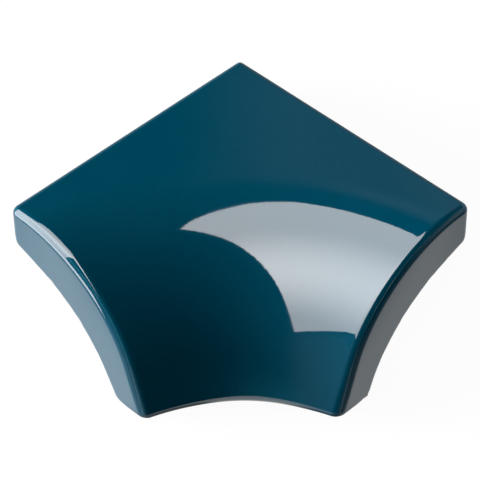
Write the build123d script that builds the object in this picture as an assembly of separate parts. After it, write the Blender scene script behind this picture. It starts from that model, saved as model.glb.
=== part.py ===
"""Outside corner tile: one pressed and glazed ceramic trim piece.

The plan is a square with a concave bite at its near corner. The glazed face is flat at the sharp
back corner and bends down into a leg that follows the bite, so it is a saddle. Straight trim pieces
butt against the two flat end faces. Lengths are in millimetres and angles in degrees.

The piece is worked out lying level, with its back corner at the origin, its back edges along X and Y
and the glazed flat at height zero. It is stored as it rests on a floor, glazed side up: leaning back
on the back corner and the foot, with the back corner towards +Y and its left corner towards -X.
"""
from build123d import *
import os
from math import atan2, cos, degrees, hypot, radians, sin, sqrt, tan

# Driving dimensions
side = 50.8                 # each of the two back edges, in plan
height = 27.6               # from the glazed flat down to the foot
flat_thickness = 8.0        # at the flat
foot_thickness = 7.0        # across the foot
axis_offset = 10.3          # how far the bend's upright axis stands outside each end face
foot_radius = 33.4          # plan radius of the foot's outer edge
glazed_leg = 10.0           # how far the leg's glazed face rises straight from the foot to the bend
glazed_lean = 15.5          # of that straight, away from upright
under_leg = 0.5             # the same for the leg's inner face
under_lean = 14.5
glazed_rounding = 1.4       # along every edge of the glazed face
back_corner_rounding = 0.6  # upright edge at the sharp back corner
end_corner_rounding = 1.4   # upright edges where an end face meets a back edge
under_rounding = 0.9        # along the edges of the underside

# Worked out
axis_place = side + axis_offset
reach = 2 * axis_place
inner_foot_radius = foot_radius + foot_thickness
touching = 0.01             # closer than this counts as touching


def turned_under(top, straight, lean, foot):
    """Everything under one face of the section, down to the foot, turned about the bend's upright axis.

    The face is a flat at height top, a bend, and a leg that ends at the foot and is straight for a
    while. In the section the first coordinate is the distance from the axis and the second the height.
    """
    turn = radians(90 - lean)
    radius = (height + top - straight) / (1 - cos(turn))
    leg_top = (foot + straight / tan(turn), straight - height)
    bend_start = leg_top[0] + radius * sin(turn)
    bend_middle = (bend_start - radius * sin(turn / 2), top - radius + radius * cos(turn / 2))
    flat = Line((reach, top), (bend_start, top))
    bend = ThreePointArc((bend_start, top), bend_middle, leg_top)
    leg = Line(leg_top, (foot, -height))
    closing = Polyline((foot, -height), (reach, -height), (reach, top))
    ring = revolve(make_face(Plane.XZ * (flat + bend + leg + closing)), Axis.Z)
    return Pos(axis_place, axis_place, 0) * ring


def hollowed_block():
    """The square block under the glazed face, with the space under the tile cut away."""
    block = Pos(side / 2, side / 2, -height / 2) * Box(side, side, height)
    under_glaze = turned_under(0, glazed_leg, glazed_lean, foot_radius)
    under_tile = turned_under(-flat_thickness, under_leg, under_lean, inner_foot_radius)
    return (under_glaze & block) - under_tile


def rounded(solid):
    """The block with its upright corners rounded, then the glazed face's edges, then the underside's."""
    solid = fillet(solid.edges().filter_by(is_back_corner), back_corner_rounding)
    solid = fillet(solid.edges().filter_by(is_end_corner), end_corner_rounding)
    solid = fillet(rims(solid, is_glazed) + foot_ends(solid), glazed_rounding)
    return fillet(rims(solid, is_under), under_rounding)


def is_upright(edge):
    """Whether an edge is a straight upright one."""
    return edge.geom_type == GeomType.LINE and abs(edge.tangent_at(0.5).Z) > 0.999


def is_back_corner(edge):
    """Whether an edge is the upright one at the sharp back corner."""
    middle = edge.position_at(0.5)
    return is_upright(edge) and middle.X + middle.Y < side / 2


def is_end_corner(edge):
    """Whether an edge is an upright one where an end face meets a back edge."""
    middle = edge.position_at(0.5)
    return is_upright(edge) and abs(middle.X - middle.Y) > side / 2


def from_axis(spot):
    """Distance in plan from the bend's upright axis."""
    return hypot(axis_place - spot.X, axis_place - spot.Y)


def is_glazed(face):
    """Whether a face looks up."""
    return face.normal_at().Z > touching


def is_under(face):
    """Whether a face looks down, further from the axis than the foot's inner edge."""
    return face.normal_at().Z < -touching and from_axis(face.position_at(0.5, 0.5)) > inner_foot_radius


def rims(solid, chosen):
    """The edges that run round the chosen faces, without those that two of them share."""
    edges = solid.faces().filter_by(chosen).edges()
    return edges.filter_by(lambda edge: sum(edge.is_same(other) for other in edges) == 1)


def foot_ends(solid):
    """The two straight edges where the foot meets the end faces."""
    level = solid.edges().filter_by(GeomType.LINE)
    return level.filter_by(lambda edge: edge.bounding_box().max.Z < touching - height)


def rest_lean():
    """How far the tile leans back on a level floor, on its back corner and the middle of its foot.

    Both places are rounded by the underside's rounding, so the lean is that of the line between the
    centres of the two roundings, in the upright plane from the back corner through the axis.
    """
    turn = radians(90 - under_lean)
    back = sqrt(2) * under_rounding
    foot = sqrt(2) * axis_place - (inner_foot_radius - under_rounding * tan(turn / 2))
    return degrees(atan2(height - flat_thickness, foot - back))


def at_rest(tile):
    """The tile turned and leant as it rests, over the origin, with its lowest point at height zero."""
    leaning = Rot(-rest_lean(), 0, 0) * Rot(0, 0, -135) * tile
    box = leaning.bounding_box()
    return Pos(-box.center().X, -box.center().Y, -box.min.Z) * leaning


if __name__ == "__main__":
    os.makedirs("parts", exist_ok=True)
    tile = at_rest(rounded(hollowed_block()))
    print(f"leans back {rest_lean():.2f} degrees, volume {tile.volume:.0f} mm3")
    export_step(tile, "parts/corner_tile.step")
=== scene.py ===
import math

import bpy
import numpy as np
from bpy.props import FloatProperty, FloatVectorProperty, PointerProperty
from mathutils import Matrix, Vector


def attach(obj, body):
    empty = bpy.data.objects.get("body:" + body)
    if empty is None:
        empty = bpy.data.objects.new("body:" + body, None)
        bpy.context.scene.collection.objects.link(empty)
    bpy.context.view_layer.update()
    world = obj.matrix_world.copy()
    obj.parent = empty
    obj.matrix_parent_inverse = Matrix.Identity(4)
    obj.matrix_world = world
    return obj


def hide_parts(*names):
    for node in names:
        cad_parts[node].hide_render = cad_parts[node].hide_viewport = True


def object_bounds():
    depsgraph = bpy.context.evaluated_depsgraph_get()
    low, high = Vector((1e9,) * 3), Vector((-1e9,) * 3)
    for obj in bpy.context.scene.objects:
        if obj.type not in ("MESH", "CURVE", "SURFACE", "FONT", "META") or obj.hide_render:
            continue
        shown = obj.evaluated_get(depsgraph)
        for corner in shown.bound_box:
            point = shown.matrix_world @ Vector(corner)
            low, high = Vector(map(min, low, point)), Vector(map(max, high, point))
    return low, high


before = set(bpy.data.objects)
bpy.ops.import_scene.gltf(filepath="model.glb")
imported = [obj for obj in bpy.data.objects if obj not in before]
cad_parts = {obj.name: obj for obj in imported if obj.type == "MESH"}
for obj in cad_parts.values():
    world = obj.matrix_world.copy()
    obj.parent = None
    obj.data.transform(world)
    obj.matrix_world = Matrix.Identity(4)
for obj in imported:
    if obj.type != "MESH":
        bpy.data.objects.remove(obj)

bl_info = {
    "name": "Outside corner tile",
    "version": (1, 0, 0),
    "blender": (4, 5, 0),
    "location": "3D View > Sidebar > Corner Tile",
    "description": "A glazed outside corner tile on a pale studio floor",
    "category": "Object",
}

NODE = "corner_tile"
BODY = "root"
CAD_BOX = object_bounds()


# Settings that a user would change

class TileSizes(bpy.types.PropertyGroup):
    """The tile's own lengths and angles, as it lies level with its back corner at the origin."""

    side: FloatProperty(
        name="Side", description="Each of the two back edges, in plan",
        default=0.0508, min=0.02, unit="LENGTH")
    height: FloatProperty(
        name="Height", description="From the glazed flat down to the foot",
        default=0.0276, min=0.01, unit="LENGTH")
    flat_thickness: FloatProperty(
        name="Flat thickness", description="Thickness at the flat",
        default=0.008, min=0.003, unit="LENGTH")
    foot_thickness: FloatProperty(
        name="Foot thickness", description="Width of the foot's face",
        default=0.007, min=0.003, unit="LENGTH")
    axis_offset: FloatProperty(
        name="Axis offset", description="How far the bend's upright axis stands outside each end face",
        default=0.0103, min=0.0, unit="LENGTH")
    foot_radius: FloatProperty(
        name="Foot radius", description="Plan radius of the foot's outer edge",
        default=0.0334, min=0.01, unit="LENGTH")
    glazed_leg: FloatProperty(
        name="Glazed leg", description="How far the leg's glazed face rises straight from the foot",
        default=0.010, min=0.0, unit="LENGTH")
    glazed_lean: FloatProperty(
        name="Glazed lean", description="Lean of the glazed leg away from upright",
        default=math.radians(15.5), subtype="ANGLE", unit="ROTATION")
    under_leg: FloatProperty(
        name="Inner leg", description="How far the leg's inner face rises straight from the foot",
        default=0.0005, min=0.0, unit="LENGTH")
    under_lean: FloatProperty(
        name="Inner lean", description="Lean of the inner leg away from upright",
        default=math.radians(14.5), subtype="ANGLE", unit="ROTATION")
    rim_rounding: FloatProperty(
        name="Rim rounding", description="Rounding along every edge of the glazed face",
        default=0.0014, min=0.0002, unit="LENGTH")
    under_rounding: FloatProperty(
        name="Underside rounding", description="Rounding along the edges of the underside",
        default=0.0009, min=0.0002, unit="LENGTH")
    corner_wear: FloatVectorProperty(
        name="Corner wear", size=4, min=0.0, max=2.0, default=(0.9, 0.8, 0.8, 0.0),
        description="How much more the underside is rounded at the end faces' low corners: "
                    "left back, left foot, right back and right foot")
    corner_reach: FloatProperty(
        name="Corner reach", description="How far from those corners the extra rounding goes",
        default=0.0032, min=0.001, unit="LENGTH")
    foot_fullness: FloatProperty(
        name="Foot fullness", description="How much more the glazed face's rim is rounded at mid foot",
        default=0.9, min=0.0, max=2.0)
    foot_swell: FloatProperty(
        name="Foot swell", description="How far the glazed face stands out at the middle of the foot",
        default=0.0005, min=0.0, unit="LENGTH")
    foot_centre: FloatProperty(
        name="Foot centre", description="Where along the foot's arc, from the left, the rounding is greatest",
        default=math.radians(50), subtype="ANGLE", unit="ROTATION")
    swell_centre: FloatProperty(
        name="Swell centre", description="Where along the foot's arc, from the left, the swell is greatest",
        default=math.radians(53), subtype="ANGLE", unit="ROTATION")
    foot_reach: FloatProperty(
        name="Foot reach", description="How far along the foot the fullness and the swell go",
        default=0.0085, min=0.002, unit="LENGTH")
    back_sharpness: FloatProperty(
        name="Back corner sharpness", description="2 is a round back corner, and more is sharper",
        default=3.6, min=2.0, max=8.0)
    glaze_depth: FloatProperty(
        name="Glaze depth", description="How far the glaze stands proud of the bare body",
        default=0.00012, min=0.0, unit="LENGTH")
    glaze_wave: FloatProperty(
        name="Glaze wave", description="Height of the slow waves in the fired glaze",
        default=0.000010, min=0.0, unit="LENGTH")


class TileFinish(bpy.types.PropertyGroup):
    """Colours and gloss of the glaze and of the bare body."""

    glaze_colour: FloatVectorProperty(
        name="Glaze", description="Colour of the glaze where it lies thick",
        default=(0.0, 0.078, 0.137), size=3, min=0.0, max=1.0, subtype="COLOR")
    thin_colour: FloatVectorProperty(
        name="Thin glaze", description="Colour of the glaze where it draws thin over the edges",
        default=(0.015, 0.160, 0.235), size=3, min=0.0, max=1.0, subtype="COLOR")
    body_colour: FloatVectorProperty(
        name="Body", description="Colour of the bare fired body",
        default=(0.50, 0.405, 0.31), size=3, min=0.0, max=1.0, subtype="COLOR")
    glaze_roughness: FloatProperty(
        name="Glaze roughness", description="Roughness of the fired glaze",
        default=0.03, min=0.0, max=1.0, subtype="FACTOR")
    glaze_index: FloatProperty(
        name="Glaze index", description="Refractive index of the glaze, which sets how strongly it mirrors",
        default=1.80, min=1.3, max=2.5)


class TileStudio(bpy.types.PropertyGroup):
    """Lamp, soft lights, room, floor and camera."""

    lamp_strength: FloatProperty(
        name="Lamp face", description="Brightness of the lamp as the glaze mirrors it, where 1 is white",
        default=6.55, min=0.0)
    lamp_light: FloatProperty(
        name="Lamp light", description="Brightness of the same lamp as it lights matt surfaces",
        default=0.95, min=0.0)
    side_light: FloatProperty(
        name="Side light", description="Power of the low soft light at the left, in watts",
        default=25.5, min=0.0)
    back_light: FloatProperty(
        name="Back light", description="Power of the soft light behind and to the right, in watts",
        default=6.0, min=0.0)
    fill_light: FloatProperty(
        name="Fill light", description="Power of the weak soft light at the right, in watts",
        default=2.0, min=0.0)
    room_grey: FloatProperty(
        name="Room", description="Brightness of the room's walls as the glaze mirrors them",
        default=0.33, min=0.0, max=1.0)
    floor_colour: FloatVectorProperty(
        name="Floor", description="Colour of the pale floor",
        default=(0.86, 0.86, 0.86), size=3, min=0.0, max=1.0, subtype="COLOR")
    lens: FloatProperty(
        name="Lens", description="Focal length on a 36 mm sensor, in millimetres",
        default=195.6, min=20.0)
    camera_place: FloatVectorProperty(
        name="Camera", description="Where the camera stands",
        default=(0.00202, -0.16550, 0.39149), size=3, subtype="TRANSLATION", unit="LENGTH")
    camera_aim: FloatVectorProperty(
        name="Aim", description="The point that the camera looks at",
        default=(-0.00009, -0.00278, 0.00982), size=3, subtype="TRANSLATION", unit="LENGTH")
    camera_roll: FloatProperty(
        name="Roll", description="Turn of the camera about its own line of sight",
        default=math.radians(-1.05), subtype="ANGLE", unit="ROTATION")


# The tile's shape

def bend(top, straight, lean, foot, height):
    """Turn and radius of one face's arc, and the distances from the axis where it ends and begins.

    The face is a flat at height top, an arc that turns down through 90 degrees less the lean, and a
    straight leg down to the foot. The arc's radius is its fall over 1 less the cosine of its turn.
    """
    turn = math.pi / 2 - lean
    radius = (height + top - straight) / (1 - math.cos(turn))
    leg_rho = foot + straight / math.tan(turn)
    return turn, radius, leg_rho, leg_rho + radius * math.sin(turn)


def section(rho, z, top, straight, lean, foot, height):
    """Distance of points outwards from one face of the section, positive above it.

    In the section rho is the distance from the bend's upright axis and z the height. The distance is
    z - top over the flat, the distance to the arc's centre less its radius over the arc, and the
    distance to the leg's line beyond it.
    """
    turn, radius, leg_rho, bend_rho = bend(top, straight, lean, foot, height)
    across = bend_rho - rho
    up = z - (top - radius)
    angle = np.arctan2(across, up)
    arc = np.hypot(across, up) - radius
    leg = (leg_rho - rho) * math.sin(turn) + (z - (straight - height)) * math.cos(turn)
    return np.where(angle < 0, z - top, np.where(angle > turn, leg, arc))


def drop(rho, top, straight, lean, foot, height):
    """Height of one face of the section at distance rho from the axis: flat, circle arc, straight leg."""
    turn, radius, leg_rho, bend_rho = bend(top, straight, lean, foot, height)
    across = np.clip(bend_rho - rho, 0.0, radius * math.sin(turn))
    arc = top - radius + np.sqrt(radius ** 2 - across ** 2)
    leg = straight - height - (leg_rho - rho) * math.tan(turn)
    return np.where(rho < leg_rho, leg, arc)


def outside(points, sizes):
    """Signed field of the rounded tile: negative inside it and zero on its skin.

    Each face gives a distance d, counted from one rounding r inside it as max(d + r, 0) / r. Faces
    that meet are joined by the root of the sum of those squares, which is 1 on a rounding of radius r.
    At the sharp back corner a higher power than 2 makes the rounding tighter. The glazed face and the
    underside are joined to the walls so, each with its own r, and the tile is what both leave. The
    underside's r grows towards the low corners of the end faces by bell curves of the distance. So
    does the glazed face's near the middle of the foot, and there the face also stands out a little.
    """
    axis = sizes.side + sizes.axis_offset
    x, y, z = points[:, 0], points[:, 1], points[:, 2]
    rho = np.hypot(axis - x, axis - y)
    glazed = section(rho, z, 0.0, sizes.glazed_leg, sizes.glazed_lean, sizes.foot_radius, sizes.height)
    under = -section(rho, z, -sizes.flat_thickness, sizes.under_leg, sizes.under_lean,
                     sizes.foot_radius + sizes.foot_thickness, sizes.height)

    def joined(face, rounding, power):
        def near(distance):
            return np.maximum(distance + rounding, 0.0) / rounding
        back = (near(-x) ** power + near(-y) ** power) ** (1 / power)
        ends = near(x - sizes.side) ** 2 + near(y - sizes.side) ** 2
        foot = near(-sizes.height - z) ** 2
        return rounding * (np.sqrt(back ** 2 + ends + foot + near(face) ** 2) - 1)

    def bell(spot, reach):
        return np.exp(-((points - spot) ** 2).sum(axis=1) / reach ** 2)

    inner_foot = axis - math.sqrt((sizes.foot_radius + sizes.foot_thickness) ** 2 - sizes.axis_offset ** 2)
    back_low, foot_low = -sizes.flat_thickness, -sizes.height
    corners = ((sizes.side, 0.0, back_low), (sizes.side, inner_foot, foot_low),
               (0.0, sizes.side, back_low), (inner_foot, sizes.side, foot_low))
    softer = sum(wear * bell(spot, sizes.corner_reach) for wear, spot in zip(sizes.corner_wear, corners))
    under_rounding = sizes.under_rounding * (1 + softer)

    def foot_bell(angle):
        out, over = sizes.foot_radius * math.sin(angle), sizes.foot_radius * math.cos(angle)
        return bell((axis - out, axis - over, foot_low), sizes.foot_reach)

    glazed = glazed - sizes.foot_swell * foot_bell(sizes.swell_centre)
    rim_rounding = sizes.rim_rounding * (1 + sizes.foot_fullness * foot_bell(sizes.foot_centre))
    upper = joined(glazed, rim_rounding, sizes.back_sharpness)
    lower = joined(under, under_rounding, 2.0)
    return np.maximum(upper, lower)


def outwards(points, sizes, step=1e-6):
    """Gradient of the field by central differences, one column for each coordinate."""
    shifts = np.eye(3) * step
    return np.stack([(outside(points + s, sizes) - outside(points - s, sizes)) / (2 * step)
                     for s in shifts], axis=1)


def settled(points, sizes, rounds=14, least=1e-9):
    """Points moved onto the skin along the gradient, by the field over the gradient's square, in rounds."""
    for _ in range(rounds):
        slope = outwards(points, sizes)
        square = np.maximum((slope ** 2).sum(axis=1), least)
        points = points - (outside(points, sizes) / square)[:, None] * slope
    return points


def sharp_block(across, along, deep, sizes):
    """The tile with sharp edges, as a function of three shares from 0 to 1.

    across runs from the left end face to the right one, along from the back edges to the foot, and
    deep from the glazed face to the underside. In plan a straight line joins a point of the back edges
    to a point of the foot's arc, each face has its section's height there, and deep runs straight
    between the two faces. Each side of the block is this with one share held at 0 or 1.
    """
    axis = sizes.side + sizes.axis_offset
    back = np.stack([np.clip(1 - 2 * across, 0, 1), np.clip(2 * across - 1, 0, 1)], axis=1) * sizes.side

    def face(foot, top, straight, lean):
        start = math.asin(sizes.axis_offset / foot)
        angle = start + across * (math.pi / 2 - 2 * start)
        arc = axis - foot * np.stack([np.sin(angle), np.cos(angle)], axis=1)
        plan = back + along[:, None] * (arc - back)
        rho = np.hypot(axis - plan[:, 0], axis - plan[:, 1])
        level = drop(np.maximum(rho, foot), top, straight, lean, foot, sizes.height)
        return np.column_stack([plan, level])

    upper = face(sizes.foot_radius, 0.0, sizes.glazed_leg, sizes.glazed_lean)
    lower = face(sizes.foot_radius + sizes.foot_thickness, -sizes.flat_thickness,
                 sizes.under_leg, sizes.under_lean)
    return upper + deep[:, None] * (lower - upper)


def crowded(edge, count, power=1.6):
    """Shares from 0 to edge, closer together towards 0: edge times (k / count) to the power."""
    return edge * (np.arange(count) / count) ** power


def shares_across():
    """Shares across the tile, close together at both end faces and at the back corner."""
    rim, corner = 0.05, 0.025
    by_end = crowded(rim, 20)
    spread = np.linspace(rim, 0.5 - corner, 46)
    by_corner = 0.5 - crowded(corner, 9)[::-1]
    half = np.concatenate([by_end, spread, by_corner])
    return np.concatenate([half, 1 - half[:-1][::-1]])


def shares_along():
    """Shares from the back edges to the foot, close together at both and closer down the leg."""
    rim, foot = 0.055, 0.013
    by_back = crowded(rim, 18)
    spread = 1 - (1 - np.linspace(0, 1, 112)) ** 1.5
    by_foot = 1 - crowded(foot, 14, 1.4)[::-1]
    return np.concatenate([by_back, rim + spread * (1 - foot - rim), by_foot])


def shares_deep():
    """Shares from the glazed face to the underside, close together at both rims."""
    glazed, under = 0.22, 0.16
    by_glazed = crowded(glazed, 11, 1.4)
    by_under = 1 - crowded(under, 9, 1.4)[::-1]
    return np.concatenate([by_glazed, np.linspace(glazed, 1 - under, 13), by_under])


def block_skin(counts):
    """The six sides of a lattice of points as quads that face outwards, with shared edges.

    A lattice point i, j, k has the number (i * nj + j) * nk + k. Each side holds one index at its
    lowest or highest value and lays quads over the other two. The numbers of the points that the
    sides use come first, and then the quads, counted over those.
    """
    ni, nj, nk = counts
    number = np.arange(ni * nj * nk).reshape(ni, nj, nk)

    def quads(grid, flip):
        corners = np.stack([grid[:-1, :-1], grid[1:, :-1], grid[1:, 1:], grid[:-1, 1:]], axis=-1)
        faces = corners.reshape(-1, 4)
        return faces[:, ::-1] if flip else faces

    sides = [
        quads(number[:, :, 0], False), quads(number[:, :, -1], True),
        quads(number[0], True), quads(number[-1], False),
        quads(number[:, 0], False), quads(number[:, -1], True),
    ]
    faces = np.concatenate(sides)
    used, faces = np.unique(faces, return_inverse=True)
    return used, faces.reshape(-1, 4)


def rest_lean(sizes):
    """How far the tile leans back on its back corner and the middle of its foot.

    It is the angle of the line between the centres of the two roundings that it rests on.
    """
    turn = math.pi / 2 - sizes.under_lean
    axis = sizes.side + sizes.axis_offset
    back = math.sqrt(2) * sizes.under_rounding
    inner = sizes.foot_radius + sizes.foot_thickness
    foot = math.sqrt(2) * axis - (inner - sizes.under_rounding * math.tan(turn / 2))
    return math.atan2(sizes.height - sizes.flat_thickness, foot - back)


def at_rest(points, sizes):
    """Points of the level tile, turned so that the leg is in front, and leant back as it rests."""
    turn = Matrix.Rotation(-rest_lean(sizes), 3, "X") @ Matrix.Rotation(math.radians(-135), 3, "Z")
    return points @ np.array(turn).T


def set_down(points):
    """Points moved to the middle of the solid's box, with the lowest point on the floor."""
    low, high = np.array(CAD_BOX)
    shift = (low + high - points.min(axis=0) - points.max(axis=0)) / 2
    shift[2] = low[2] - points[:, 2].min()
    return points + shift


def ripple(shares, waves):
    """Sum of sines along the given shares, each wave given as (turns, phase, height)."""
    return sum(height * np.sin(2 * math.pi * turns * shares + phase) for turns, phase, height in waves)


def glaze_margin(points, across, along, deep, sizes):
    """How far each point lies past the glaze's lower edge, in metres, positive on the bare body.

    The glaze runs down the end faces almost to the underside, two thirds down the back faces, and a
    third of the way over the foot. Between a side and the next the line moves over smoothly, and it
    wanders by a sum of sines.
    """
    end_reach, foot_reach = 0.0014, 0.0012
    to_end = sizes.side - np.maximum(points[:, 0], points[:, 1])
    on_end = np.exp(-(to_end / end_reach) ** 2)
    to_foot = sizes.height + points[:, 2]
    on_foot = np.exp(-(to_foot / foot_reach) ** 2)
    back_line = 0.66 + ripple(across, [(3, 0.4, 0.022), (7, 1.9, 0.014), (17, 0.2, 0.007)])
    end_line = 0.93 + ripple(along, [(4, 1.0, 0.012), (11, 2.6, 0.008)])
    foot_line = 0.36 + ripple(across, [(5, 2.0, 0.05), (13, 0.7, 0.03)])
    line = back_line + on_end * (end_line - back_line)
    line = line + on_foot * (foot_line - line)
    return (deep - line) * sizes.flat_thickness


def eased(value, low, high):
    """Smooth step from 0 at low to 1 at high: 3 t squared less 2 t cubed."""
    share = np.clip((value - low) / (high - low), 0, 1)
    return share * share * (3 - 2 * share)


# Each wave has its radians a metre along x, y and z, and its phase
GLAZE_WAVES = (((310, 140, 0), 0.7), ((-170, 420, 250), 2.1), ((520, -260, 0), 1.3))


def glaze_waves(points):
    """Slow waves from -1 to 1: the mean of the sines that GLAZE_WAVES gives."""
    return sum(np.sin(points @ np.array(way) + phase) for way, phase in GLAZE_WAVES) / len(GLAZE_WAVES)


def tile_points(sizes):
    """Points, quads and point attributes of the whole tile, at rest.

    The lattice's skin is put on the sharp block, settled on the rounded skin, and then sunk along
    its normal: by the glaze's depth where the body is bare, and by the glaze's slow waves elsewhere.
    glaze_margin is in millimetres, and edge_thinning is how far a point came in from the sharp block,
    as a share of the rim's rounding.
    """
    shares = shares_across(), shares_along(), shares_deep()
    counts = [len(s) for s in shares]
    used, faces = block_skin(counts)
    i, j, k = np.unravel_index(used, counts)
    across, along, deep = shares[0][i], shares[1][j], shares[2][k]
    sharp = sharp_block(across, along, deep, sizes)
    points = settled(sharp, sizes)
    worn = np.linalg.norm(points - sharp, axis=1) / sizes.rim_rounding
    margin = glaze_margin(points, across, along, deep, sizes)
    bare = eased(margin, -0.0001, 0.0004)
    wave = sizes.glaze_wave * (1 + glaze_waves(points)) / 2
    sunk = bare * sizes.glaze_depth + (1 - bare) * wave
    normal = outwards(points, sizes)
    normal /= np.linalg.norm(normal, axis=1)[:, None]
    points = set_down(at_rest(points - sunk[:, None] * normal, sizes))
    return points, faces, {"glaze_margin": margin * 1000, "edge_thinning": worn, "depth_share": deep}


def mesh_piece(name, points, faces, attributes):
    """A smooth-shaded mesh object from arrays of points, quads and point attributes."""
    mesh = bpy.data.meshes.new(name)
    mesh.vertices.add(len(points))
    mesh.vertices.foreach_set("co", points.astype(np.float32).ravel())
    mesh.loops.add(faces.size)
    mesh.loops.foreach_set("vertex_index", faces.astype(np.int32).ravel())
    mesh.polygons.add(len(faces))
    mesh.polygons.foreach_set("loop_start", np.arange(0, faces.size, 4, dtype=np.int32))
    mesh.polygons.foreach_set("use_smooth", np.ones(len(faces), dtype=bool))
    for label, values in attributes.items():
        layer = mesh.attributes.new(label, "FLOAT", "POINT")
        layer.data.foreach_set("value", values.astype(np.float32))
    mesh.update(calc_edges=True)
    mesh.validate()
    piece = bpy.data.objects.new(name, mesh)
    bpy.context.scene.collection.objects.link(piece)
    return piece


# Materials

BLACK = (0.0, 0.0, 0.0, 1.0)
WHITE = (1.0, 1.0, 1.0, 1.0)
DARK_GLAZE = (0.0, 0.033, 0.059, 1.0)
PINHOLE = (0.0, 0.018, 0.033, 1.0)
PALE_CLAY = (0.63, 0.55, 0.45, 1.0)
BROWN_CLAY = (0.42, 0.33, 0.24, 1.0)
GROG = (0.30, 0.19, 0.12, 1.0)


class Nodes:
    """Short calls for adding and joining the nodes of one material or world."""

    def __init__(self, owner):
        owner.use_nodes = True
        self.tree = owner.node_tree
        self.tree.nodes.clear()

    def add(self, kind, links=(), **settings):
        """A node with the given settings, and its sockets fed by name."""
        node = self.tree.nodes.new(kind)
        for key, value in settings.items():
            setattr(node, key, value)
        for socket, value in dict(links).items():
            self.feed(node.inputs[socket], value)
        return node

    def feed(self, socket, value):
        """Link another node's socket to this one, or set a plain value on it."""
        if isinstance(value, bpy.types.NodeSocket):
            self.tree.links.new(value, socket)
        else:
            socket.default_value = value

    def number(self, operation, *values):
        """A sum, product or the like of numbers."""
        node = self.add("ShaderNodeMath", operation=operation)
        for socket, value in zip(node.inputs, values):
            self.feed(socket, value)
        return node.outputs[0]

    def times(self, first, second):
        """The product of two numbers."""
        return self.number("MULTIPLY", first, second)

    def colour(self, share, first, second):
        """The first colour, mixed with a share of the second."""
        node = self.add("ShaderNodeMix", data_type="RGBA")
        self.feed(node.inputs[0], share)
        self.feed(node.inputs[6], first)
        self.feed(node.inputs[7], second)
        return node.outputs[2]

    def ramp(self, value, low, high, to_low=0.0, to_high=1.0, ease="SMOOTHSTEP"):
        """A number that goes from to_low to to_high as the value goes from low to high."""
        node = self.add("ShaderNodeMapRange", interpolation_type=ease)
        for socket, given in zip(node.inputs, (value, low, high, to_low, to_high)):
            self.feed(socket, given)
        return node.outputs[0]

    def noise(self, vector, scale, detail=3.0, roughness=0.5):
        """Smooth noise from 0 to 1."""
        return self.add("ShaderNodeTexNoise", {
            "Vector": vector, "Scale": scale, "Detail": detail, "Roughness": roughness}).outputs["Fac"]

    def grains(self, vector, scale):
        """Distance to the nearest of scattered points."""
        spots = self.add("ShaderNodeTexVoronoi", {"Vector": vector, "Scale": scale}, feature="F1")
        return spots.outputs["Distance"]

    def bump(self, height, distance, strength, normal=None):
        """A normal tilted by a relief, on top of another normal where one is given."""
        node = self.add("ShaderNodeBump", {"Height": height, "Distance": distance, "Strength": strength})
        if normal is not None:
            self.feed(node.inputs["Normal"], normal)
        return node.outputs[0]

    def axes(self, vector):
        """The x, y and z of a vector."""
        split = self.add("ShaderNodeSeparateXYZ")
        self.feed(split.inputs[0], vector)
        return split.outputs

    def glow(self, strength):
        """White light of the given strength."""
        return self.add("ShaderNodeEmission", {"Color": WHITE, "Strength": strength}).outputs[0]

    def blend(self, share, first, second):
        """The first surface, mixed with a share of the second."""
        node = self.add("ShaderNodeMixShader")
        for socket, value in zip(node.inputs, (share, first, second)):
            self.feed(socket, value)
        return node.outputs[0]


def opaque(colour):
    """A colour with full alpha, as colour sockets want it."""
    return (*colour, 1.0)


def glaze_surface(n, place, finish):
    """Gloss glaze with slow clouding and fine specks, paler where it draws thin over the edges."""
    worn = n.add("ShaderNodeAttribute", attribute_name="edge_thinning").outputs["Fac"]
    deep = n.add("ShaderNodeAttribute", attribute_name="depth_share").outputs["Fac"]
    thick_colour, thin_colour = opaque(finish.glaze_colour), opaque(finish.thin_colour)

    # Clouds and specks over the whole glaze, and then the thin glaze on the glazed face's rims
    cloud = n.noise(place, 55.0, 2.0)
    colour = n.colour(n.ramp(cloud, 0.3, 0.7, 0.0, 0.06), thick_colour, thin_colour)
    fine = n.noise(place, 900.0)
    colour = n.colour(n.ramp(fine, 0.35, 0.75, 0.0, 0.10), colour, DARK_GLAZE)
    thin = n.times(n.ramp(worn, 0.13, 0.48), n.ramp(deep, 0.0, 0.02, 1.0, 0.0))
    thin = n.times(thin, n.ramp(n.noise(place, 260.0), 0.3, 0.7, 0.5, 0.9))
    colour = n.colour(thin, colour, thin_colour)

    # Pinholes in patches
    patches = n.ramp(n.noise(place, 130.0), 0.62, 0.70)
    pinhole = n.times(n.ramp(n.grains(place, 420.0), 0.05, 0.11, 1.0, 0.0), patches)
    colour = n.colour(n.times(pinhole, 0.5), colour, PINHOLE)

    # Faint smears in the gloss, and a very low orange peel
    smear = n.ramp(n.noise(place, 120.0, 4.0), 0.35, 0.7,
                   finish.glaze_roughness, finish.glaze_roughness + 0.02)
    peel = n.bump(n.noise(place, 700.0, 2.0), 0.00004, 0.05)
    peel = n.bump(n.number("SUBTRACT", 1.0, pinhole), 0.00004, 0.12, peel)
    return n.add("ShaderNodeBsdfPrincipled", {
        "Base Color": colour, "Roughness": smear, "IOR": finish.glaze_index, "Normal": peel}).outputs[0]


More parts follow.
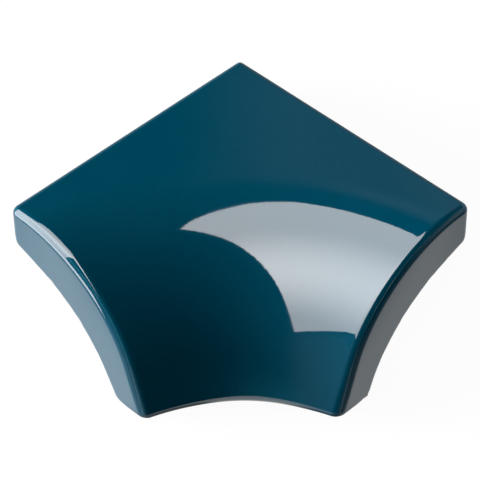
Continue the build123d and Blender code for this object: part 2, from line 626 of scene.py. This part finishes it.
def body_surface(n, place, finish):
    """Matt pressed clay with grog grains, fine pores and a little kiln dust."""
    grain = n.noise(place, 1500.0, 4.0, 0.65)
    colour = n.colour(n.ramp(grain, 0.3, 0.75), opaque(finish.body_colour), PALE_CLAY)
    patch = n.noise(place, 90.0, 4.0, 0.6)
    colour = n.colour(n.ramp(patch, 0.4, 0.7, 0.0, 0.5), colour, BROWN_CLAY)
    grog = n.times(n.ramp(n.grains(place, 1100.0), 0.14, 0.26, 1.0, 0.0),
                   n.ramp(n.noise(place, 500.0), 0.55, 0.62))
    colour = n.colour(n.times(grog, 0.7), colour, GROG)
    relief = n.bump(grain, 0.00012, 0.5)
    relief = n.bump(n.noise(place, 260.0), 0.0003, 0.35, relief)
    relief = n.bump(grog, 0.00010, 0.4, relief)
    return n.add("ShaderNodeBsdfPrincipled", {
        "Base Color": colour, "Roughness": 0.86, "IOR": 1.45, "Normal": relief}).outputs[0]


def tile_material(finish):
    """Glossy teal glaze over a matt pressed body, parted along the glaze's wandering lower edge.

    That edge wanders a little more than the mesh does, by noise added to the margin.
    """
    material = bpy.data.materials.new("corner_tile_glaze_and_body")
    n = Nodes(material)
    place = n.add("ShaderNodeTexCoord").outputs["Object"]
    margin = n.add("ShaderNodeAttribute", attribute_name="glaze_margin").outputs["Fac"]
    wander = n.times(n.number("SUBTRACT", n.noise(place, 420.0, 4.0, 0.6), 0.5), 0.9)
    bare = n.ramp(n.number("ADD", margin, wander), -0.05, 0.07)
    skin = n.blend(bare, glaze_surface(n, place, finish), body_surface(n, place, finish))
    n.add("ShaderNodeOutputMaterial", {"Surface": skin})
    return material


# Stage

FLOOR_SIZE = 12.0
FLOOR_SECOND_TONE = 0.985
# How much the floor is darkened as it lights the object, and its matt and glowing parts as it is seen
FLOOR_DARKENED = 0.8
FLOOR_MATT = 0.09
FLOOR_GLOW = 0.95
ROOM_LIGHT = 0.04
SOFT_LIGHT_SIZE = 0.5
SOFT_LIGHT_DISTANCE = 1.2


def seen_by(n, *kinds):
    """1 for the given kinds of ray, such as "Is Camera Ray", and 0 for others."""
    path = n.add("ShaderNodeLightPath")
    total = path.outputs[kinds[0]]
    for kind in kinds[1:]:
        total = n.number("MAXIMUM", total, path.outputs[kind])
    return total


def mirrored_floor(n, place):
    """How bright the floor is in the glaze's mirror, where 1 is nearly white.

    In front there is a small lit table, cut off by slanting edges, brighter at its left and dark
    along its middle, with a narrow lit strip in that middle that reaches further out. Elsewhere in
    front the floor is dim, and behind the tile it brightens with the distance.
    """
    side, back, _ = n.axes(place)
    far = n.add("ShaderNodeVectorMath", operation="LENGTH")
    n.feed(far.inputs[0], place)
    far = far.outputs["Value"]
    aside = n.number("ABSOLUTE", side)

    # The lit table: its slanting edges, its fall to the right, its fall to the back and its dark middle
    slant = n.number("SUBTRACT", n.times(aside, 0.5), n.times(back, 0.85))
    table = n.times(n.ramp(slant, 0.038, 0.050, 1.0, 0.0), n.ramp(side, -0.03, 0.03, 1.38, 0.90))
    table = n.times(table, n.ramp(back, -0.018, -0.004, 1.0, 0.72))
    table = n.times(table, n.ramp(aside, 0.016, 0.023, 0.1, 1.0))

    # The strip: its left and right edges, and its far end
    strip = n.times(n.ramp(side, -0.0065, -0.0025), n.ramp(side, 0.005, 0.011, 1.15, 0.0))
    strip = n.times(strip, n.ramp(back, -0.085, -0.070))

    # The dim floor, darker at the right and further off, and the floor behind the tile
    dim = n.times(n.ramp(side, -0.02, 0.02, 0.34, 0.05), n.ramp(far, 0.05, 0.11, 1.0, 0.3))
    front = n.number("MAXIMUM", n.number("MAXIMUM", table, strip), dim)
    behind = n.ramp(far, 0.030, 0.052, 0.03, 0.24)
    return n.ramp(n.ramp(back, -0.004, 0.008), 0.0, 1.0, front, behind, "LINEAR")


def floor_material(studio):
    """Pale floor that keeps a soft shadow. For camera, glossy and transmission rays it is lifted to white.

    In the glaze's mirror its brightness goes by the place, as mirrored_floor gives it.
    """
    material = bpy.data.materials.new("studio_floor")
    n = Nodes(material)
    place = n.add("ShaderNodeTexCoord").outputs["Object"]
    paper = n.noise(place, 35.0)
    pale = n.colour(n.ramp(paper, 0.3, 0.7), opaque(studio.floor_colour),
                    opaque([c * FLOOR_SECOND_TONE for c in studio.floor_colour]))
    matt = n.add("ShaderNodeBsdfDiffuse", {"Color": n.colour(FLOOR_DARKENED, pale, BLACK)}).outputs[0]
    shadowed = n.add("ShaderNodeBsdfDiffuse", {
        "Color": opaque([c * FLOOR_MATT for c in studio.floor_colour])})
    mirrored = seen_by(n, "Is Glossy Ray")
    level = n.number("ADD", n.times(mirrored, mirrored_floor(n, place)), n.number("SUBTRACT", 1.0, mirrored))
    lifted = n.add("ShaderNodeAddShader")
    n.feed(lifted.inputs[0], shadowed.outputs[0])
    n.feed(lifted.inputs[1], n.glow(n.times(level, FLOOR_GLOW)))
    seen = seen_by(n, "Is Camera Ray", "Is Glossy Ray", "Is Transmission Ray")
    n.add("ShaderNodeOutputMaterial", {"Surface": n.blend(seen, matt, lifted.outputs[0])})
    return material


def studio_world(studio):
    """White behind the object for camera and transmission rays, and a faint even light for others.

    The glaze mirrors a dim wall at the right, up to middle height, and a dimmer one low at the left,
    and black elsewhere.
    """
    world = bpy.data.worlds.new("studio_room")
    n = Nodes(world)
    side, back, up = n.axes(n.add("ShaderNodeTexCoord").outputs["Generated"])
    right = n.times(n.ramp(side, 0.10, 0.6), n.ramp(back, -0.6, -0.1))
    right = n.times(right, n.ramp(up, 0.28, 0.70, 1.0, 0.0))
    left = n.times(n.ramp(side, -0.45, -0.25, 0.27, 0.0), n.ramp(up, 0.35, 0.5, 1.0, 0.0))
    room = n.times(n.number("MAXIMUM", right, left), studio.room_grey)
    mirrored = seen_by(n, "Is Glossy Ray")
    faint = n.times(n.number("SUBTRACT", 1.0, mirrored), ROOM_LIGHT)
    dim = n.number("ADD", n.times(mirrored, room), faint)
    level = n.number("MAXIMUM", seen_by(n, "Is Camera Ray", "Is Transmission Ray"), dim)
    sky = n.add("ShaderNodeBackground", {"Color": WHITE, "Strength": level})
    n.add("ShaderNodeOutputWorld", {"Surface": sky.outputs[0]})
    return world


def lamp_material(studio, across):
    """Soft lamp face, brightest along a slanting line and dimmer away from it on both sides.

    across is the direction over the lamp's face at right angles to that line, over the lamp's distance.
    """
    material = bpy.data.materials.new("studio_lamp")
    n = Nodes(material)
    offset = n.add("ShaderNodeVectorMath", operation="DOT_PRODUCT")
    n.feed(offset.inputs[0], n.add("ShaderNodeTexCoord").outputs["Object"])
    n.feed(offset.inputs[1], tuple(across))
    offset = offset.outputs["Value"]
    brightest, reach = -0.14, 0.80
    level = n.times(n.ramp(offset, brightest - reach, brightest, 0.63, 1.0),
                    n.ramp(offset, brightest, brightest + reach, 1.0, 0.52))
    mirrored = seen_by(n, "Is Glossy Ray")
    strength = n.ramp(mirrored, 0.0, 1.0, studio.lamp_light, studio.lamp_strength, "LINEAR")
    n.add("ShaderNodeOutputMaterial", {"Surface": n.glow(n.times(level, strength))})
    return material


def direction(azimuth, elevation):
    """Level direction turned from the front towards the right by the azimuth, and raised by the elevation."""
    level = math.cos(elevation)
    return Vector((math.sin(azimuth) * level, -math.cos(azimuth) * level, math.sin(elevation)))


def flat_panel(name, corners, material):
    """A flat stage piece with the given corners that no camera ray sees."""
    mesh = bpy.data.meshes.new(name)
    mesh.from_pydata(corners, [], [tuple(range(len(corners)))])
    mesh.update()
    mesh.materials.append(material)
    panel = bpy.data.objects.new(name, mesh)
    bpy.context.scene.collection.objects.link(panel)
    panel.visible_camera = False
    return panel


def lamp_panel(studio):
    """One large soft lamp at the left, as a flat panel that faces the tile.

    Its outline is given as it looks from the tile: to the right of and above the line of sight to its
    middle, as shares of its distance.
    """
    azimuth, elevation, distance = math.radians(-75), math.radians(45), 1.5
    sight = direction(azimuth, elevation)
    sideways = Vector((0, 0, 1)).cross(sight).normalized()
    upwards = sight.cross(sideways)
    outline = [(-0.50, 1.54), (1.02, -0.11), (0.50, -0.24), (0.28, -0.40), (0.32, -0.98), (0.10, -0.92),
               (-0.20, -0.92), (-0.45, -0.98), (-0.75, 0.0), (-0.66, 0.36), (-1.20, 0.95), (-1.32, 1.33)]
    corners = [distance * (sight + right * sideways + up * upwards) for right, up in outline]
    slant = 0.8 * sideways - 0.6 * upwards
    panel = flat_panel("studio_lamp", corners, lamp_material(studio, slant / distance))
    if panel.data.polygons[0].normal.dot(sight) > 0:
        panel.data.flip_normals()
    return panel


def plain_glow(name, strength):
    """A white glow of one strength all over."""
    material = bpy.data.materials.new(name)
    n = Nodes(material)
    n.add("ShaderNodeOutputMaterial", {"Surface": n.glow(strength)})
    return material


def haze_glow(name, room_grey):
    """A dim glow, brighter to the right and upwards, that ends softly at the top."""
    material = bpy.data.materials.new(name)
    n = Nodes(material)
    side, _, up = n.axes(n.add("ShaderNodeTexCoord").outputs["Object"])
    wide = n.number("ADD", n.ramp(side, -0.016, 0.012, 0.0, 0.26), n.ramp(side, 0.028, 0.045, 0.0, 0.14))
    wide = n.times(wide, n.ramp(up, 0.090, 0.150, 1.0, 0.0))
    high = n.times(n.ramp(side, 0.005, 0.022, 0.0, 0.34), n.ramp(up, 0.085, 0.125))
    high = n.times(high, n.ramp(up, 0.130, 0.200, 1.0, 0.0))
    strength = n.times(n.number("ADD", wide, high), room_grey)
    n.add("ShaderNodeOutputMaterial", {"Surface": n.glow(strength)})
    return material


def mirrored_card(name, corners, material):
    """A flat card that only mirrored rays see."""
    card = flat_panel(name, corners, material)
    card.visible_diffuse = card.visible_transmission = card.visible_shadow = False
    return card


def studio_cards(studio):
    """Cards for what the glaze mirrors close by.

    A low lit card at the left gives the glint along the left rim, a small black one the step in it,
    and a dim one behind, brighter to the right and upwards, the haze over the flat. The outlines at
    the left are given by y and z, and the one behind by x and z.
    """
    lit_x, black_x, haze_y = -0.090, -0.040, 0.150
    lit_strength = 5.5
    lit = [(-0.077, 0.0), (0.010, 0.0), (0.010, 0.034), (-0.077, 0.034)]
    black = [(-0.0182, 0.0255), (-0.0182, 0.106), (-0.030, 0.094), (-0.040, 0.084),
             (-0.048, 0.078), (-0.064, 0.060), (-0.080, 0.042), (-0.080, 0.0255)]
    haze = [(-0.020, 0.0), (0.100, 0.0), (0.100, 0.200), (-0.020, 0.200)]
    return (
        mirrored_card("studio_low_card", [(lit_x, y, z) for y, z in lit],
                      plain_glow("studio_low_card", lit_strength)),
        mirrored_card("studio_black_card", [(black_x, y, z) for y, z in black],
                      plain_glow("studio_black_card", 0.0)),
        mirrored_card("studio_haze_card", [(x, haze_y, z) for x, z in haze],
                      haze_glow("studio_haze_card", studio.room_grey)))


def soft_light(name, power, azimuth, elevation):
    """A soft square light that faces the tile and that the glaze doesn't mirror. Angles in degrees."""
    data = bpy.data.lights.new(name, "AREA")
    data.shape = "SQUARE"
    data.size = SOFT_LIGHT_SIZE
    data.energy = power
    light = bpy.data.objects.new(name, data)
    bpy.context.scene.collection.objects.link(light)
    place = SOFT_LIGHT_DISTANCE * direction(math.radians(azimuth), math.radians(elevation))
    light.matrix_world = Matrix.Translation(place) @ (-place).to_track_quat("-Z", "Y").to_matrix().to_4x4()
    light.visible_glossy = light.visible_camera = False


def camera_object(studio):
    """Camera at the photograph's viewing angle, turned about its own line of sight by the roll."""
    data = bpy.data.cameras.new("camera")
    data.lens = studio.lens
    data.sensor_width = 36.0
    data.clip_start = 0.01
    camera = bpy.data.objects.new("camera", data)
    bpy.context.scene.collection.objects.link(camera)
    place = Vector(studio.camera_place)
    sight = Vector(studio.camera_aim) - place
    turn = sight.to_track_quat("-Z", "Y").to_matrix() @ Matrix.Rotation(studio.camera_roll, 3, "Z")
    camera.matrix_world = Matrix.Translation(place) @ turn.to_4x4()
    return camera


# Operators, panel and registration

class OBJECT_OT_corner_tile(bpy.types.Operator):
    """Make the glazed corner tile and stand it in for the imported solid"""

    bl_idname = "object.make_corner_tile"
    bl_label = "Make corner tile"

    def execute(self, context):
        scene = context.scene
        points, faces, attributes = tile_points(scene.tile_sizes)
        piece = mesh_piece("glazed_corner_tile", points, faces, attributes)
        piece.data.materials.append(tile_material(scene.tile_finish))
        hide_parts(NODE)
        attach(piece, BODY)
        return {"FINISHED"}


class OBJECT_OT_tile_studio(bpy.types.Operator):
    """Lay the pale floor and set up the lamp, the soft lights, the mirrored cards, the room and the camera"""

    bl_idname = "object.set_tile_studio"
    bl_label = "Set up studio"

    def execute(self, context):
        scene = context.scene
        studio = scene.tile_studio
        bpy.ops.mesh.primitive_plane_add(size=FLOOR_SIZE)
        floor = context.active_object
        floor.name = "studio_floor"
        floor.data.materials.append(floor_material(studio))
        lamp = lamp_panel(studio)
        soft_light("studio_side_light", studio.side_light, azimuth=-93, elevation=13)
        soft_light("studio_back_light", studio.back_light, azimuth=135, elevation=10)
        soft_light("studio_fill_light", studio.fill_light, azimuth=95, elevation=8)
        studio_cards(studio)
        scene.world = studio_world(studio)
        scene.camera = camera_object(studio)
        scene.view_settings.view_transform = "Standard"
        return {"FINISHED"}


class VIEW3D_PT_corner_tile(bpy.types.Panel):
    """Sizes, finish and studio of the corner tile"""

    bl_label = "Corner Tile"
    bl_idname = "VIEW3D_PT_corner_tile"
    bl_space_type = "VIEW_3D"
    bl_region_type = "UI"
    bl_category = "Corner Tile"

    def draw(self, context):
        for title, settings, operator in (
                ("Tile", context.scene.tile_sizes, OBJECT_OT_corner_tile),
                ("Finish", context.scene.tile_finish, None),
                ("Studio", context.scene.tile_studio, OBJECT_OT_tile_studio)):
            box = self.layout.box()
            box.label(text=title)
            for key in settings.__annotations__:
                box.prop(settings, key)
            if operator:
                box.operator(operator.bl_idname)


CLASSES = (TileSizes, TileFinish, TileStudio, OBJECT_OT_corner_tile, OBJECT_OT_tile_studio,
           VIEW3D_PT_corner_tile)


def register():
    """Register the classes and hang the settings on the scene."""
    for made in CLASSES:
        bpy.utils.register_class(made)
    bpy.types.Scene.tile_sizes = PointerProperty(type=TileSizes)
    bpy.types.Scene.tile_finish = PointerProperty(type=TileFinish)
    bpy.types.Scene.tile_studio = PointerProperty(type=TileStudio)


def unregister():
    """Take the settings off the scene and the classes out again."""
    del bpy.types.Scene.tile_studio
    del bpy.types.Scene.tile_finish
    del bpy.types.Scene.tile_sizes
    for made in reversed(CLASSES):
        bpy.utils.unregister_class(made)


def main():
    """Make the tile and its studio."""
    register()
    bpy.ops.object.make_corner_tile()
    bpy.ops.object.set_tile_studio()


if __name__ == "__main__":
    main()
